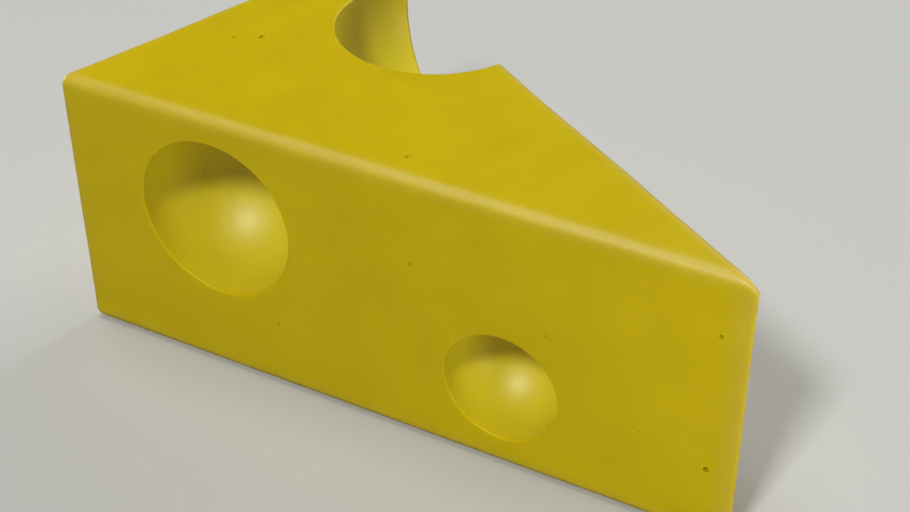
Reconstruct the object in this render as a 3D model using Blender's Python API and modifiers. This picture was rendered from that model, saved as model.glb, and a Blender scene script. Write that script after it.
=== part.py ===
"""A wedge of firm yellow cheese with round gas eyes, lying on its flat lower face.

The wedge is a triangular block: two long cut faces meet at a narrow tip, and a short heel face
closes the broad end. +X runs from the heel to the tip, +Y towards the far cut face and +Z up.
The origin is the middle of the bounding box, on the resting face.
"""

import math
from collections import namedtuple

import bmesh
import bpy
from mathutils import Vector

# Driving dimensions, in metres.
LENGTH = 0.120  # heel face to the tip, before the tip is rounded
HEEL_WIDTH = 0.0710
HEIGHT = 0.0504
EDGE_ROUND = 0.0016  # how far the rounding of an edge reaches onto each face
EDGE_SEGMENTS = 4
EYE_SUBDIVISIONS = 4  # an icosphere of 1280 faces
WELD_GAP = 0.00001  # points closer than this become one

# The cheese: colour is linear, from a clear mustard yellow.
CHEESE_COLOUR = (0.55, 0.42, 0.035, 1.0)
CHEESE_ROUGHNESS = 0.42

# Shape worked out from the driving dimensions.
HALF_TIP = math.atan2(HEEL_WIDTH / 2, LENGTH)  # half the angle at the tip
TIP_LOSS = 2 * EDGE_ROUND * math.cos(HALF_TIP) * (1 - math.sqrt(0.5))  # what rounding takes off
HEEL_X = (TIP_LOSS - LENGTH) / 2
TIP_X = HEEL_X + LENGTH

# An eye is a gas bubble that a cut has opened. Its centre is `along` from the tip on a cut face, or
# from the middle of the heel face, `height` above the resting face and `sink` inside the face.
Eye = namedtuple("Eye", "name face along height sink radius")
EYES = (
    Eye("eye_near_heel", "near", 0.0949, 0.0308, 0.0044, 0.0154),
    Eye("eye_near_tip", "near", 0.0411, 0.0157, 0.0034, 0.0109),
    Eye("eye_top_far", "far", 0.0908, 0.0453, 0.0037, 0.0188),
    Eye("eye_far_middle", "far", 0.0560, 0.0215, 0.0005, 0.0105),
    Eye("eye_far_low", "far", 0.1070, 0.0110, -0.0015, 0.0060),
    Eye("eye_heel", "heel", -0.0080, 0.0225, 0.0000, 0.0085),
)


def clear_scene():
    """Remove whatever the startup file holds."""
    for obj in list(bpy.data.objects):
        bpy.data.objects.remove(obj, do_unlink=True)


def new_collection(name):
    """A collection linked to the scene."""
    collection = bpy.data.collections.new(name)
    bpy.context.scene.collection.children.link(collection)
    return collection


def cheese_material():
    """Plain semi-soft cheese: one yellow, with a faint waxy gloss."""
    material = bpy.data.materials.new("cheese")
    material.use_nodes = True
    shader = material.node_tree.nodes["Principled BSDF"]
    shader.inputs["Base Color"].default_value = CHEESE_COLOUR
    shader.inputs["Roughness"].default_value = CHEESE_ROUGHNESS
    shader.inputs["Metallic"].default_value = 0.0
    return material


def outline_curve(name, points, thickness):
    """A closed flat outline of straight sides, filled and extruded to a thickness about z = 0."""
    curve = bpy.data.curves.new(name, "CURVE")
    curve.dimensions = "2D"
    curve.fill_mode = "BOTH"
    curve.extrude = thickness / 2
    spline = curve.splines.new("POLY")
    spline.points.add(len(points) - 1)
    for slot, (x, y) in zip(spline.points, points):
        slot.co = (x, y, 0.0, 1.0)
    spline.use_cyclic_u = True
    return bpy.data.objects.new(name, curve)


def mesh_from_curve(outline, name, collection):
    """The curve's solid as a mesh object with its caps welded on; the curve is removed."""
    bpy.context.scene.collection.objects.link(outline)
    bpy.context.view_layer.update()
    graph = bpy.context.evaluated_depsgraph_get()
    mesh = bpy.data.meshes.new_from_object(outline.evaluated_get(graph))
    mesh.name = name
    solid = bmesh.new()
    solid.from_mesh(mesh)
    bmesh.ops.remove_doubles(solid, verts=solid.verts, dist=WELD_GAP)
    bmesh.ops.recalc_face_normals(solid, faces=solid.faces)
    solid.to_mesh(mesh)
    solid.free()
    block = bpy.data.objects.new(name, mesh)
    block.matrix_world = outline.matrix_world
    collection.objects.link(block)
    bpy.data.objects.remove(outline, do_unlink=True)
    return block


def wedge_block(collection, material):
    """The whole wedge before its eyes: a triangular block with softly rounded edges."""
    half = HEEL_WIDTH / 2
    corners = ((TIP_X, 0.0), (HEEL_X, half), (HEEL_X, -half))
    outline = outline_curve("wedge_outline", corners, HEIGHT)
    outline.location.z = HEIGHT / 2
    wedge = mesh_from_curve(outline, "cheese_wedge", collection)
    wedge.data.materials.clear()
    wedge.data.materials.append(material)
    rounding = wedge.modifiers.new("edge_rounding", "BEVEL")
    rounding.width = EDGE_ROUND
    rounding.segments = EDGE_SEGMENTS
    rounding.limit_method = "ANGLE"
    return wedge


def face_frame(face):
    """Start point, direction along and outward normal of a side face, level with its foot."""
    if face == "heel":
        return Vector((HEEL_X, 0, 0)), Vector((0, 1, 0)), Vector((-1, 0, 0))
    side = -1 if face == "near" else 1
    along = Vector((-math.cos(HALF_TIP), side * math.sin(HALF_TIP), 0))
    normal = Vector((math.sin(HALF_TIP), side * math.cos(HALF_TIP), 0))
    return Vector((TIP_X, 0, 0)), along, normal


def eye_centre(eye):
    """The middle of an eye's bubble."""
    start, along, normal = face_frame(eye.face)
    return start + along * eye.along - normal * eye.sink + Vector((0, 0, eye.height))


def eye_cutter(eye, collection):
    """The bubble that leaves an eye, as a sphere that cuts."""
    mesh = bpy.data.meshes.new(eye.name)
    bubble = bmesh.new()
    bmesh.ops.create_icosphere(bubble, subdivisions=EYE_SUBDIVISIONS, radius=eye.radius)
    bubble.to_mesh(mesh)
    bubble.free()
    mesh.shade_smooth()
    cutter = bpy.data.objects.new(eye.name, mesh)
    cutter.location = eye_centre(eye)
    cutter.display_type = "WIRE"
    cutter.hide_render = True
    collection.objects.link(cutter)
    return cutter


def cut_eyes(wedge, collection):
    """Open every eye in the wedge."""
    for eye in EYES:
        opening = wedge.modifiers.new(eye.name, "BOOLEAN")
        opening.operation = "DIFFERENCE"
        opening.solver = "EXACT"
        opening.object = eye_cutter(eye, collection)


def main():
    clear_scene()
    pieces = new_collection("cheese_wedge")
    cutters = new_collection("cutters")
    wedge = wedge_block(pieces, cheese_material())
    cut_eyes(wedge, cutters)


main()
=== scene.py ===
"""The looks of a wedge of firm yellow cheese with round gas eyes, made over its fixed solid.

The wedge is one mesh: a block with rounded edges and a slightly wavy cut surface, from which
bubbles are taken away to leave the eyes and a few pinholes. +X runs from the heel to the tip, +Y
towards the far cut face and +Z up.
"""

import math
import random
from collections import namedtuple

import bmesh
import bpy
from mathutils import Matrix, Vector, noise


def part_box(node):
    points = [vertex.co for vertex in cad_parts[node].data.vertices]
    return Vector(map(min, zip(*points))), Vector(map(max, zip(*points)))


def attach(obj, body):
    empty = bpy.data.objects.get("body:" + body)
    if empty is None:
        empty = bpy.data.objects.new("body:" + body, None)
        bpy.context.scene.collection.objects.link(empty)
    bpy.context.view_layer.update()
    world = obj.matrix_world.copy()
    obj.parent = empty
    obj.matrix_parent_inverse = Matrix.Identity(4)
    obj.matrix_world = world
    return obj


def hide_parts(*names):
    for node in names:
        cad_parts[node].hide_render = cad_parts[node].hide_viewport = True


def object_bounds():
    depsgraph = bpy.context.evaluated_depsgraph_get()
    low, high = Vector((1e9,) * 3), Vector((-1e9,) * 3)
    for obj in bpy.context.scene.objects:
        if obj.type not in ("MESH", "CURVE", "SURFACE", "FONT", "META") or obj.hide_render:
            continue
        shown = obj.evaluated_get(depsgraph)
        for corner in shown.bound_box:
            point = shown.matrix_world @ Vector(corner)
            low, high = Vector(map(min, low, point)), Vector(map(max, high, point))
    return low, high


bl_info = {
    "name": "Cheese Wedge",
    "version": (1, 0, 0),
    "blender": (4, 5, 0),
    "location": "3D View > Sidebar > Cheese",
    "description": "A wedge of firm yellow cheese with round eyes, on a plain studio stage",
    "category": "Add Mesh",
}

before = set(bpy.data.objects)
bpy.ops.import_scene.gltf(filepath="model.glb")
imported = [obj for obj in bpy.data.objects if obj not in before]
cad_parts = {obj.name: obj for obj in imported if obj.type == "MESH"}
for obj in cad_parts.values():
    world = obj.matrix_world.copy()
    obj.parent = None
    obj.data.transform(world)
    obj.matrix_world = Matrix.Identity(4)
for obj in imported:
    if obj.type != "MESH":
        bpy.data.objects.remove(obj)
CAD_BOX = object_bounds()
SOLID = "cheese_wedge"  # the fixed solid, whose place the wedge takes
SOLID_LOW, SOLID_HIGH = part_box(SOLID)
WEDGE = "wedge_of_cheese"
MM = 0.001

# Eyes. A centre is `along` from the tip on a cut face, or from the middle of the heel face,
# `height` above the resting face and `sink` inside the face.
Eye = namedtuple("Eye", "name face along height sink radius")
EYES = (
    Eye("eye_near_heel", "near", 0.0949, 0.0308, 0.0044, 0.0154),
    Eye("eye_near_tip", "near", 0.0411, 0.0157, 0.0034, 0.0109),
    Eye("eye_top_far", "far", 0.0908, 0.0453, 0.0037, 0.0188),
    Eye("eye_far_middle", "far", 0.0560, 0.0215, 0.0005, 0.0105),
    Eye("eye_far_low", "far", 0.1070, 0.0110, -0.0015, 0.0060),
    Eye("eye_heel", "heel", -0.0080, 0.0225, 0.0000, 0.0085),
)
LARGE_EYE = 0.012  # an eye with a larger radius takes a finer sphere
FINE_SPHERE = 6
COARSE_SPHERE = 5

# The mesh.
EDGE_SEGMENTS = 6
LENGTHWISE_CUTS = 124  # about one row of vertices a millimetre along a cut face
UPRIGHT_CUTS = 50
LONG_EDGE = 0.010  # edges of the block longer than this are divided
SHARP_ANGLE = math.radians(38)

# Relief of the cut faces, in metres.
BOW_HEIGHT = 0.13 * MM  # slow unevenness of a face cut by hand
BOW_LENGTH = 26 * MM
DRAG_HEIGHT = 0.03 * MM  # ridges left along the cutting wire
DRAG_WIDTH = 3.2 * MM
DRAG_LENGTH = 45 * MM
WEAR_HEIGHT = 0.07 * MM  # unevenness of a rounded edge
WEAR_LENGTH = 6 * MM
BASE_BAND = 3 * MM  # the relief fades out over this height above the resting face

# Relief of the eyes: share of the radius, and the length of its waves.
EYE_OUT_OF_ROUND = 0.012
EYE_WAVE = 17 * MM
EYE_DIMPLE = 0.0012
EYE_DIMPLE_LENGTH = 4 * MM

# Rims of the eyes: a small rounding, left by a turned plug that opens out a little above the face.
RIM_ROUND = 0.32 * MM
RIM_ARC_STEPS = 4
RIM_FLARE = (1.3 * MM, 0.45 * MM)  # out along the face, and up from it
RIM_CAP = 2  # the plug's top stands this many times as high as the flare
RIM_STEPS_PER_METRE = 1700
# The plug's foot lies inside the bubble: share of the rim's radius out, and of the bubble's down.
RIM_FOOT = ((0, -0.4), (0.75, -0.2))

# Pinholes: bubbles too small to be called eyes.
PINHOLE_SEED = 11
PINHOLES = 16
PINHOLE_RADII = (0.25 * MM, 0.55 * MM)
PINHOLE_SINK = (-0.2, 0.5)  # share of the radius
PINHOLE_STRETCH = (1.0, 2.2)  # some are slits
PINHOLE_RISE = 0.4  # how far a slit may lean from level
PINHOLE_SPHERE = 3
PINHOLE_CLEAR = 1.2 * MM  # from a pinhole to anything else
PINHOLE_MARGIN = 3  # edge rounds from a pinhole to an edge
PINHOLE_FACES = ("near", "far", "top", "top", "heel")  # drawn from, so the top has most

# Material slots of the wedge.
PASTE, SKIN = range(2)

# How rubbed the paste is: 1 within the first distance of an edge, and 0 past the second.
RUB = "rub"
RUB_REACH = (0.7 * MM, 3.2 * MM)

# The paste. Patterns have their real size, and relief is how far they stand up.
CLOUD = 11 * MM  # denser and looser paste
CLOUD_EDGE = (0.35, 0.65)  # noise below is deep paste, and above is plain paste
CURD = 1.1 * MM  # grain of the pressed curd
CURD_RELIEF = 0.03 * MM
COMB = (20 * MM, 9 * MM, 1.3 * MM)  # fine lines drawn out level by the wire
COMB_RELIEF = 0.012 * MM
FACE_ROUGHNESS = (0.38, 0.46)
EDGE_ROUGHNESS = 0.52
FACE_GLOSS = (0.34, 0.32, 0.14, 1)  # a cut face is drier than its rubbed edges
EDGE_GLOSS = (1.0, 0.97, 0.9, 1)
PASTE_SOCKETS = {
    "Specular IOR Level": 0.9,
    "Subsurface Weight": 0.35,  # light soaks a little way in
    "Subsurface Radius": (1.0, 0.65, 0.2),
    "Subsurface Scale": 2.5 * MM,
}

# The skin of an eye.
DIMPLE = 2 * MM
DIMPLE_RELIEF = 0.03 * MM
SKIN_SOCKETS = {
    "Roughness": 0.48,
    "Specular IOR Level": 0.8,
    "Specular Tint": EDGE_GLOSS,
    "Subsurface Weight": 0.2,
    "Subsurface Radius": (1.0, 0.65, 0.2),
    "Subsurface Scale": 2.5 * MM,
}
PAPER_ROUGHNESS = 0.9

# Numbers of a Mix node's colour sockets, whose names its other sockets share.
MIX_FIRST, MIX_SECOND, MIX_RESULT = 6, 7, 2

# Soft lights, square and turned to the wedge: degrees round from -Y and up, then distance and size
# in metres, and power in watts. A light that spares the floor shines on the wedge alone, so it
# leaves no bright pool beside it.
Softbox = namedtuple("Softbox", "name azimuth elevation distance size power spares_floor")
SOFTBOXES = (
    Softbox("key", 17, 47, 1.8, 0.25, 20.3, False),
    Softbox("back", 178, 32, 1.8, 0.90, 15.4, False),
    Softbox("top", -75, 76, 1.8, 0.90, 11.9, False),
    Softbox("heel", -84, 1.5, 1.0, 0.08, 2.8, True),
    Softbox("side", 80, 4, 0.2, 0.05, 0.083, True),
    Softbox("rim", 100, 8, 1.0, 0.30, 0.3, True),
)
WORLD_LIGHT = 0.045
AIM = Vector((-0.0004, -0.0003, 0.0001))  # from the middle of the CAD box to the camera's target
SENSOR_WIDTH = 36  # millimetres
CLIP_START = 10 * MM
FLOOR_HALF = 3  # metres from the middle of the floor to its sides
FLOOR_GAP = 0.2 * MM  # keeps the floor off the resting face


def srgb(hex_colour):
    """A linear red, green and blue from an sRGB hex value."""
    parts = [int(hex_colour[i:i + 2], 16) / 255 for i in (1, 3, 5)]
    return tuple(c / 12.92 if c <= 0.04045 else ((c + 0.055) / 1.055) ** 2.4 for c in parts)


class CheeseShape(bpy.types.PropertyGroup):
    """Sizes of the wedge."""

    length: bpy.props.FloatProperty(
        name="Length", description="Heel face to the tip, before the tip is rounded",
        default=0.120, unit="LENGTH")
    heel_width: bpy.props.FloatProperty(
        name="Heel Width", description="Width of the heel face before its edges are rounded",
        default=0.0710, unit="LENGTH")
    edge_round: bpy.props.FloatProperty(
        name="Edge Round", description="How far the rounding of an edge reaches onto each face",
        default=0.0019, unit="LENGTH")


class CheeseFinish(bpy.types.PropertyGroup):
    """Colours of the cheese."""

    paste: bpy.props.FloatVectorProperty(
        name="Paste", description="The body of the cheese", subtype="COLOR", size=3,
        default=srgb("#C4AD00"))
    paste_deep: bpy.props.FloatVectorProperty(
        name="Deep Paste", description="Where the paste is denser and a little darker",
        subtype="COLOR", size=3, default=srgb("#BFA800"))
    eye_wall: bpy.props.FloatVectorProperty(
        name="Eye Wall", description="The smooth skin of an eye", subtype="COLOR", size=3,
        default=srgb("#D7C61A"))


class StageSettings(bpy.types.PropertyGroup):
    """The camera, the floor and the lights."""

    azimuth: bpy.props.FloatProperty(
        name="Azimuth", description="How far round the wedge the camera stands", subtype="ANGLE",
        default=math.radians(45.1))
    elevation: bpy.props.FloatProperty(
        name="Elevation", description="How high the camera stands", subtype="ANGLE",
        default=math.radians(35.26))
    distance: bpy.props.FloatProperty(
        name="Distance", description="From the middle of the wedge to the camera",
        default=0.2815, unit="LENGTH")
    lens: bpy.props.FloatProperty(
        name="Lens", description="Focal length of the camera, in millimetres", default=66.5,
        unit="CAMERA")
    floor: bpy.props.FloatVectorProperty(
        name="Floor", description="Colour of the floor", subtype="COLOR", size=3,
        default=srgb("#C2C2BE"))


def side_face(face, shape):
    """Start point, direction along and outward normal of a side face, level with its foot."""
    heel_x = SOLID_LOW.x
    if face == "heel":
        return Vector((heel_x, 0, 0)), Vector((0, 1, 0)), Vector((-1, 0, 0))
    half_tip = math.atan2(shape.heel_width / 2, shape.length)
    side = -1 if face == "near" else 1
    along = Vector((-math.cos(half_tip), side * math.sin(half_tip), 0))
    normal = Vector((math.sin(half_tip), side * math.cos(half_tip), 0))
    return Vector((heel_x + shape.length, 0, 0)), along, normal


def eye_centre(eye, shape):
    """The middle of an eye's bubble."""
    start, along, normal = side_face(eye.face, shape)
    return start + along * eye.along - normal * eye.sink + Vector((0, 0, eye.height))


def bubble_radius(eye):
    """Radius of an eye's bubble, which leaves room for the rounding of its rim."""
    return eye.radius - RIM_ROUND


def long_edges(block, upright):
    """The block's long edges that stand upright, or those that lie level."""
    chosen = []
    for edge in block.edges:
        rise = abs(edge.verts[0].co.z - edge.verts[1].co.z)
        if edge.calc_length() > LONG_EDGE and (rise > LONG_EDGE) == upright:
            chosen.append(edge)
    return chosen


def surface_lift(place, normal):
    """How far a wire-cut surface stands out at a place."""
    x, y, z = place
    level = normal.z ** 2
    rounded = 4 * level * (1 - level)  # 0 on a face, 1 half way round a level edge
    along_top = noise.noise((x / DRAG_WIDTH, y / DRAG_LENGTH, 0))
    along_side = noise.noise((x / DRAG_LENGTH, y / DRAG_LENGTH, z / DRAG_WIDTH))
    lift = BOW_HEIGHT * noise.noise(place / BOW_LENGTH)
    lift += DRAG_HEIGHT * (level * along_top + (1 - level) * along_side)
    lift += WEAR_HEIGHT * rounded * noise.noise(place / WEAR_LENGTH)
    return lift


def cut_surface_relief(block):
    """The relief on every face but the one it rests on."""
    moves = []
    block.normal_update()
    for vert in block.verts:
        fade = min(1.0, max(0.0, vert.co.z - SOLID_LOW.z) / BASE_BAND)
        moves.append(vert.normal * surface_lift(vert.co, vert.normal) * fade)
    for vert, move in zip(block.verts, moves):
        vert.co += move


def wedge_block(shape):
    """The wedge before its eyes, as a bmesh of even rows with softly rounded edges."""
    half = shape.heel_width / 2
    heel_x = SOLID_LOW.x
    corners = ((heel_x + shape.length, 0), (heel_x, half), (heel_x, -half))
    block = bmesh.new()
    foot = block.faces.new([block.verts.new((x, y, SOLID_LOW.z)) for x, y in corners])
    grown = bmesh.ops.extrude_face_region(block, geom=[foot])
    top = [item for item in grown["geom"] if isinstance(item, bmesh.types.BMVert)]
    bmesh.ops.translate(block, verts=top, vec=(0, 0, SOLID_HIGH.z - SOLID_LOW.z))
    bmesh.ops.recalc_face_normals(block, faces=block.faces)
    bmesh.ops.bevel(
        block, geom=block.edges[:], affect="EDGES", offset=shape.edge_round,
        segments=EDGE_SEGMENTS, profile=0.5, material=-1)
    for upright, cuts in ((False, LENGTHWISE_CUTS), (True, UPRIGHT_CUTS)):
        bmesh.ops.subdivide_edges(
            block, edges=long_edges(block, upright), cuts=cuts, use_grid_fill=True)
    cut_surface_relief(block)
    return block


def add_bubble(bubbles, centre, radius, subdivisions):
    """A sphere among the bubbles; returns its vertices."""
    made = bmesh.ops.create_icosphere(
        bubbles, subdivisions=subdivisions, radius=radius, matrix=Matrix.Translation(centre))
    return made["verts"]


def eye_relief(verts, centre):
    """Push a bubble slightly out of round, with faint dimples."""
    for vert in verts:
        out = vert.co - centre
        swell = EYE_OUT_OF_ROUND * noise.noise(vert.co / EYE_WAVE)
        swell += EYE_DIMPLE * noise.noise(vert.co / EYE_DIMPLE_LENGTH)
        vert.co = centre + out * (1 + swell)


def rim_profile(radius, sink):
    """Half outline of the plug that rounds a rim: out from its axis, and up from the face."""
    out = math.sqrt((radius + RIM_ROUND) ** 2 - (sink - RIM_ROUND) ** 2)
    start = math.atan2(RIM_ROUND - sink, -out)  # from the rounding's middle to the bubble's
    if start < 0:
        start += 2 * math.pi
    points = [(share * out, drop * radius) for share, drop in RIM_FOOT]
    for step in range(RIM_ARC_STEPS + 1):
        angle = start + (math.pi / 2 - start) * step / RIM_ARC_STEPS
        points.append((out + RIM_ROUND * math.cos(angle), RIM_ROUND * (math.sin(angle) - 1)))
    points.append((out + RIM_FLARE[0], RIM_FLARE[1]))
    points.append((0, RIM_FLARE[1] * RIM_CAP))
    return points


def add_rim_plug(plugs, eye, centre, sink, normal):
    """Turn a rim's profile about the eye's axis, and warp it as the bubble is warped."""
    turn = normal.to_track_quat("Z", "X").to_matrix().to_4x4()
    foot = centre + normal * sink
    verts = [plugs.verts.new((x, 0, z)) for x, z in rim_profile(bubble_radius(eye), sink)]
    edges = [plugs.edges.new(pair) for pair in zip(verts, verts[1:])]
    steps = round(2 * math.pi * eye.radius * RIM_STEPS_PER_METRE)
    bmesh.ops.spin(
        plugs, geom=verts + edges, cent=(0, 0, 0), axis=(0, 0, 1), angle=2 * math.pi,
        steps=steps, use_merge=True)
    made = [vert for vert in plugs.verts if not vert.tag]
    bmesh.ops.transform(plugs, matrix=Matrix.Translation(foot) @ turn, verts=made)
    eye_relief(made, centre)
    for vert in made:
        vert.tag = True


def rim_cutter(planes, name, materials):
    """The plugs that round the rims of the eyes listed, each with its plane."""
    plugs = bmesh.new()
    for eye, centre, sink, normal in planes:
        add_rim_plug(plugs, eye, centre, sink, normal)
    bmesh.ops.remove_doubles(plugs, verts=plugs.verts, dist=0.001 * MM)
    bmesh.ops.recalc_face_normals(plugs, faces=plugs.faces)
    return object_from(plugs, name, materials)


def side_rims(shape):
    """Every eye with the side face that it opens."""
    return [
        (eye, eye_centre(eye, shape), eye.sink, side_face(eye.face, shape)[2]) for eye in EYES]


def top_rims(shape):
    """The eyes that open through the top."""
    rims = []
    for eye in EYES:
        sink = SOLID_HIGH.z - eye.height
        if sink < eye.radius:
            rims.append((eye, eye_centre(eye, shape), sink, Vector((0, 0, 1))))
    return rims


def pinhole_places(shape):
    """Centre and radius of each pinhole, scattered over the faces that show."""
    draw = random.Random(PINHOLE_SEED)
    height = SOLID_HIGH.z - SOLID_LOW.z
    margin = PINHOLE_MARGIN * shape.edge_round
    taken = [(eye_centre(eye, shape), eye.radius) for eye in EYES]
    cut_face = math.hypot(shape.length, shape.heel_width / 2)
    places = []
    while len(places) < PINHOLES:
        face = draw.choice(PINHOLE_FACES)
        radius = draw.uniform(*PINHOLE_RADII)
        sink = draw.uniform(*PINHOLE_SINK) * radius
        if face == "top":
            share = draw.random() ** 0.5
            x = SOLID_LOW.x + shape.length * (1 - share)
            y = draw.uniform(-1, 1) * share * (shape.heel_width / 2 - margin)
            centre = Vector((max(x, SOLID_LOW.x + margin), y, SOLID_HIGH.z - sink))
        else:
            start, along, normal = side_face(face, shape)
            span = (margin, cut_face - margin)
            if face == "heel":
                span = (margin - shape.heel_width / 2, shape.heel_width / 2 - margin)
            centre = start + along * draw.uniform(*span) - normal * sink
            centre.z = draw.uniform(margin, height - margin)
        reach = radius * PINHOLE_STRETCH[1]
        if all((centre - c).length > reach + r + PINHOLE_CLEAR for c, r in taken):
            taken.append((centre, reach))
            places.append((centre, radius))
    return places


def slit_direction(draw):
    """A direction along which a pinhole is stretched, mostly level."""
    angle = draw.uniform(0, math.pi)
    rise = draw.uniform(-PINHOLE_RISE, PINHOLE_RISE)
    return Vector((math.cos(angle), math.sin(angle), rise)).normalized()


def bubble_cutter(shape, materials):
    """Every eye and pinhole as one object that cuts."""
    bubbles = bmesh.new()
    for eye in EYES:
        centre = eye_centre(eye, shape)
        fine = FINE_SPHERE if eye.radius > LARGE_EYE else COARSE_SPHERE
        eye_relief(add_bubble(bubbles, centre, bubble_radius(eye), fine), centre)
    for face in bubbles.faces:
        face.material_index = SKIN  # the eyes have a skin, and the pinholes none
    draw = random.Random(PINHOLE_SEED)
    for centre, radius in pinhole_places(shape):
        verts = add_bubble(bubbles, centre, radius, PINHOLE_SPHERE)
        stretch = Matrix.Scale(draw.uniform(*PINHOLE_STRETCH), 4, slit_direction(draw))
        bmesh.ops.transform(
            bubbles, verts=verts, matrix=stretch, space=Matrix.Translation(-centre))
    return object_from(bubbles, "bubbles", materials)


def object_from(shape_mesh, name, materials):
    """A scene object from a bmesh, which is then freed."""
    mesh = bpy.data.meshes.new(name)
    shape_mesh.to_mesh(mesh)
    shape_mesh.free()
    for material in materials:
        mesh.materials.append(material)
    made = bpy.data.objects.new(name, mesh)
    bpy.context.scene.collection.objects.link(made)
    return made


def take_away(body, cutters):
    """Cut an object with others and keep only the result."""
    for cutter in cutters:
        cut = body.modifiers.new(cutter.name, "BOOLEAN")
        cut.operation = "DIFFERENCE"
        cut.solver = "EXACT"
        cut.material_mode = "INDEX"
        cut.object = cutter
    graph = bpy.context.evaluated_depsgraph_get()
    result = bpy.data.meshes.new_from_object(body.evaluated_get(graph))
    body.modifiers.clear()
    body.data = result
    for cutter in cutters:
        bpy.data.objects.remove(cutter, do_unlink=True)


def mark_rubbed_edges(wedge, shape):
    """Store how rubbed each vertex is, by how near it lies to an edge of the block."""
    sides = [side_face(face, shape) for face in ("near", "far", "heel")]
    near, far = RUB_REACH
    rub = wedge.data.attributes.new(RUB, "FLOAT", "POINT")
    for vert in wedge.data.vertices:
        gaps = [SOLID_HIGH.z - vert.co.z, vert.co.z - SOLID_LOW.z]
        gaps += [(start - vert.co).dot(normal) for start, _, normal in sides]
        share = (far - sorted(gaps)[1]) / (far - near)  # the nearest plane is the vertex's own
        share = min(1.0, max(0.0, share))
        rub.data[vert.index].value = share * share * (3 - 2 * share)  # eased at both ends


def add_node(tree, kind, settings=None, **links):
    """Add a shader node, set its properties and sockets, and link sockets named by keyword."""
    node = tree.nodes.new(kind)
    for key, value in (settings or {}).items():
        if key in node.inputs:
            node.inputs[key].default_value = value
        else:
            setattr(node, key, value)
    for key, source in links.items():
        tree.links.new(source, node.inputs[key.replace("_", " ")])
    return node


def new_material(name, sockets):
    """A node material whose Principled shader has the values given."""
    material = bpy.data.materials.new(name)
    material.use_nodes = True
    tree = material.node_tree
    shader = tree.nodes["Principled BSDF"]
    for key, value in sockets.items():
        shader.inputs[key].default_value = value
    return material, tree, shader


def pressed_cheese(finish):
    """Firm pressed cheese, cut by a wire: a smooth, faintly waxy face with a soft glow.

    It looks a warm yellow that clouds slightly, with a dry sheen on the faces and a paler, broader
    shine on the rubbed edges.
    """
    material, tree, shader = new_material("pressed_cheese_wire_cut", PASTE_SOCKETS)
    place = add_node(tree, "ShaderNodeTexCoord").outputs["Object"]
    clouds = add_node(
        tree, "ShaderNodeTexNoise", {"Scale": 1 / CLOUD, "Detail": 3.0, "Roughness": 0.5},
        Vector=place)
    curd = add_node(
        tree, "ShaderNodeTexNoise", {"Scale": 1 / CURD, "Detail": 3.0, "Roughness": 0.6},
        Vector=place)
    combed = add_node(
        tree, "ShaderNodeMapping", {"Scale": [1 / size for size in COMB]}, Vector=place)
    lines = add_node(
        tree, "ShaderNodeTexNoise", {"Scale": 1.0, "Detail": 2.0},
        Vector=combed.outputs["Vector"])
    rubbed = add_node(tree, "ShaderNodeAttribute", {"attribute_name": RUB})

    blend = add_node(
        tree, "ShaderNodeMapRange", {"From Min": CLOUD_EDGE[0], "From Max": CLOUD_EDGE[1]},
        Value=clouds.outputs["Fac"])
    colour = add_node(
        tree, "ShaderNodeMix", {"data_type": "RGBA"}, Factor=blend.outputs["Result"])
    colour.inputs[MIX_FIRST].default_value = (*finish.paste_deep, 1)
    colour.inputs[MIX_SECOND].default_value = (*finish.paste, 1)
    tree.links.new(colour.outputs[MIX_RESULT], shader.inputs["Base Color"])

    rough = add_node(
        tree, "ShaderNodeMapRange", {"To Min": FACE_ROUGHNESS[0], "To Max": FACE_ROUGHNESS[1]},
        Value=clouds.outputs["Fac"])
    softened = add_node(
        tree, "ShaderNodeMix", {"data_type": "FLOAT", "B": EDGE_ROUGHNESS},
        A=rough.outputs["Result"], Factor=rubbed.outputs["Fac"])
    tree.links.new(softened.outputs["Result"], shader.inputs["Roughness"])

    gloss = add_node(
        tree, "ShaderNodeMix", {"data_type": "RGBA"}, Factor=rubbed.outputs["Fac"])
    gloss.inputs[MIX_FIRST].default_value = FACE_GLOSS
    gloss.inputs[MIX_SECOND].default_value = EDGE_GLOSS
    tree.links.new(gloss.outputs[MIX_RESULT], shader.inputs["Specular Tint"])

    combing = add_node(
        tree, "ShaderNodeBump", {"Distance": COMB_RELIEF}, Height=lines.outputs["Fac"])
    bump = add_node(
        tree, "ShaderNodeBump", {"Distance": CURD_RELIEF}, Height=curd.outputs["Fac"],
        Normal=combing.outputs["Normal"])
    tree.links.new(bump.outputs["Normal"], shader.inputs["Normal"])
    return material


def eye_skin(finish):
    """The skin of a gas eye: the paste, set smooth against the gas and left oily.

    It looks a lighter yellow than the cut paste, with a broad soft highlight.
    """
    material, tree, shader = new_material("cheese_eye_skin", SKIN_SOCKETS)
    shader.inputs["Base Color"].default_value = (*finish.eye_wall, 1)
    place = add_node(tree, "ShaderNodeTexCoord").outputs["Object"]
    dimples = add_node(
        tree, "ShaderNodeTexNoise", {"Scale": 1 / DIMPLE, "Detail": 2.0}, Vector=place)
    bump = add_node(
        tree, "ShaderNodeBump", {"Distance": DIMPLE_RELIEF, "Strength": 0.5},
        Height=dimples.outputs["Fac"])
    tree.links.new(bump.outputs["Normal"], shader.inputs["Normal"])
    return material


def matt_paper(stage):
    """A sheet of matt studio paper: a pale neutral grey without a highlight."""
    material, _, shader = new_material("matt_paper_floor", {"Roughness": PAPER_ROUGHNESS})
    shader.inputs["Base Color"].default_value = (*stage.floor, 1)
    return material


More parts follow.
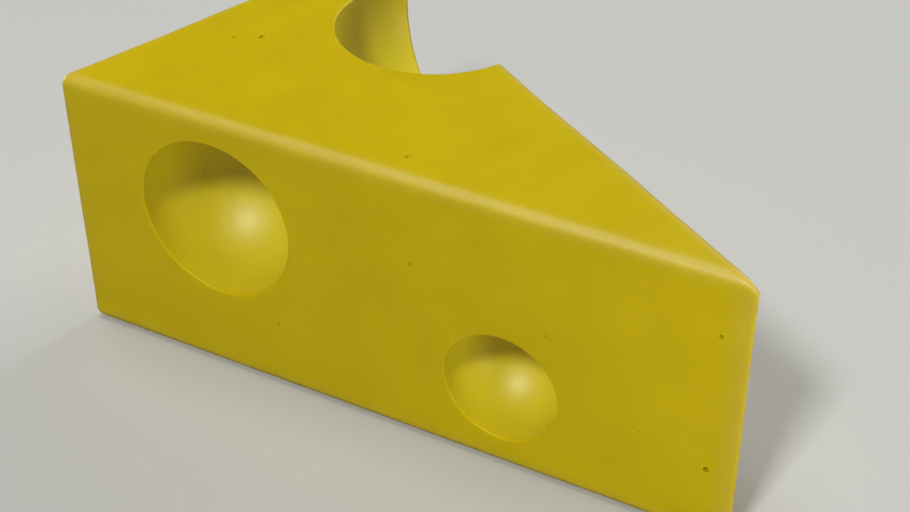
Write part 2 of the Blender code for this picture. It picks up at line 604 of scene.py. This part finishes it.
class MESH_OT_cheese_wedge(bpy.types.Operator):
    """Build the wedge of cheese with its eyes"""

    bl_idname = "mesh.cheese_wedge"
    bl_label = "Cheese Wedge"

    def execute(self, context):
        shape = context.scene.cheese_shape
        finish = context.scene.cheese_finish
        materials = (pressed_cheese(finish), eye_skin(finish))
        wedge = object_from(wedge_block(shape), WEDGE, materials)
        take_away(wedge, (
            rim_cutter(side_rims(shape), "side_rims", materials),
            rim_cutter(top_rims(shape), "top_rims", materials),
            bubble_cutter(shape, materials)))
        mark_rubbed_edges(wedge, shape)
        wedge.data.shade_smooth()
        wedge.data.set_sharp_from_angle(angle=SHARP_ANGLE)
        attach(wedge, "root")
        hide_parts(SOLID)
        return {"FINISHED"}


def direction(azimuth, elevation):
    """The unit vector at an angle round from -Y and up from level."""
    level = math.cos(elevation)
    return Vector((
        math.sin(azimuth) * level, -math.cos(azimuth) * level, math.sin(elevation)))


def add_camera(stage, target):
    """The camera, turned to the middle of the wedge."""
    camera = bpy.data.objects.new("camera", bpy.data.cameras.new("camera"))
    bpy.context.scene.collection.objects.link(camera)
    back = direction(stage.azimuth, stage.elevation)
    camera.location = target + back * stage.distance
    camera.rotation_euler = back.to_track_quat("Z", "Y").to_euler()
    camera.data.lens = stage.lens
    camera.data.sensor_width = SENSOR_WIDTH
    camera.data.clip_start = CLIP_START
    bpy.context.scene.camera = camera


def add_softbox(softbox, target):
    """A square soft light that faces the wedge."""
    light = bpy.data.lights.new(softbox.name, "AREA")
    light.size = softbox.size
    light.energy = softbox.power
    lamp = bpy.data.objects.new(softbox.name, light)
    bpy.context.scene.collection.objects.link(lamp)
    back = direction(math.radians(softbox.azimuth), math.radians(softbox.elevation))
    lamp.location = target + back * softbox.distance
    lamp.rotation_euler = back.to_track_quat("Z", "Y").to_euler()
    if softbox.spares_floor:
        lit = bpy.data.collections.new(f"lit_by_{softbox.name}")
        lit.objects.link(bpy.data.objects[WEDGE])
        lamp.light_linking.receiver_collection = lit


def add_floor(stage):
    """A plain pale floor."""
    plane = bmesh.new()
    bmesh.ops.create_grid(plane, x_segments=1, y_segments=1, size=FLOOR_HALF)
    floor = object_from(plane, "floor", (matt_paper(stage),))
    floor.location.z = SOLID_LOW.z - FLOOR_GAP
    floor.visible_glossy = False  # its reflection would grey the yellow of the side faces


class SCENE_OT_cheese_stage(bpy.types.Operator):
    """Set up the camera, the floor and the soft lights"""

    bl_idname = "scene.cheese_stage"
    bl_label = "Cheese Stage"

    def execute(self, context):
        stage = context.scene.cheese_stage
        target = (CAD_BOX[0] + CAD_BOX[1]) / 2 + AIM
        add_camera(stage, target)
        for softbox in SOFTBOXES:
            add_softbox(softbox, target)
        add_floor(stage)
        world = bpy.data.worlds.new("studio")
        world.use_nodes = True
        background = world.node_tree.nodes["Background"]
        background.inputs["Color"].default_value = (1, 1, 1, 1)
        background.inputs["Strength"].default_value = WORLD_LIGHT
        context.scene.world = world
        context.scene.view_settings.view_transform = "Standard"
        return {"FINISHED"}


class VIEW3D_PT_cheese(bpy.types.Panel):
    """Sizes, colours and the buttons that build each part"""

    bl_label = "Cheese Wedge"
    bl_space_type = "VIEW_3D"
    bl_region_type = "UI"
    bl_category = "Cheese"

    def draw(self, context):
        for group in ("cheese_shape", "cheese_finish", "cheese_stage"):
            settings = getattr(context.scene, group)
            for key in settings.__annotations__:
                self.layout.prop(settings, key)
        self.layout.operator(MESH_OT_cheese_wedge.bl_idname)
        self.layout.operator(SCENE_OT_cheese_stage.bl_idname)


CLASSES = (
    CheeseShape, CheeseFinish, StageSettings, MESH_OT_cheese_wedge, SCENE_OT_cheese_stage,
    VIEW3D_PT_cheese)


def register():
    for cls in CLASSES:
        bpy.utils.register_class(cls)
    bpy.types.Scene.cheese_shape = bpy.props.PointerProperty(type=CheeseShape)
    bpy.types.Scene.cheese_finish = bpy.props.PointerProperty(type=CheeseFinish)
    bpy.types.Scene.cheese_stage = bpy.props.PointerProperty(type=StageSettings)


def unregister():
    del bpy.types.Scene.cheese_stage
    del bpy.types.Scene.cheese_finish
    del bpy.types.Scene.cheese_shape
    for cls in reversed(CLASSES):
        bpy.utils.unregister_class(cls)


def main():
    """Build the wedge and its stage."""
    register()
    bpy.ops.mesh.cheese_wedge()
    bpy.ops.scene.cheese_stage()


if __name__ == "__main__":
    main()
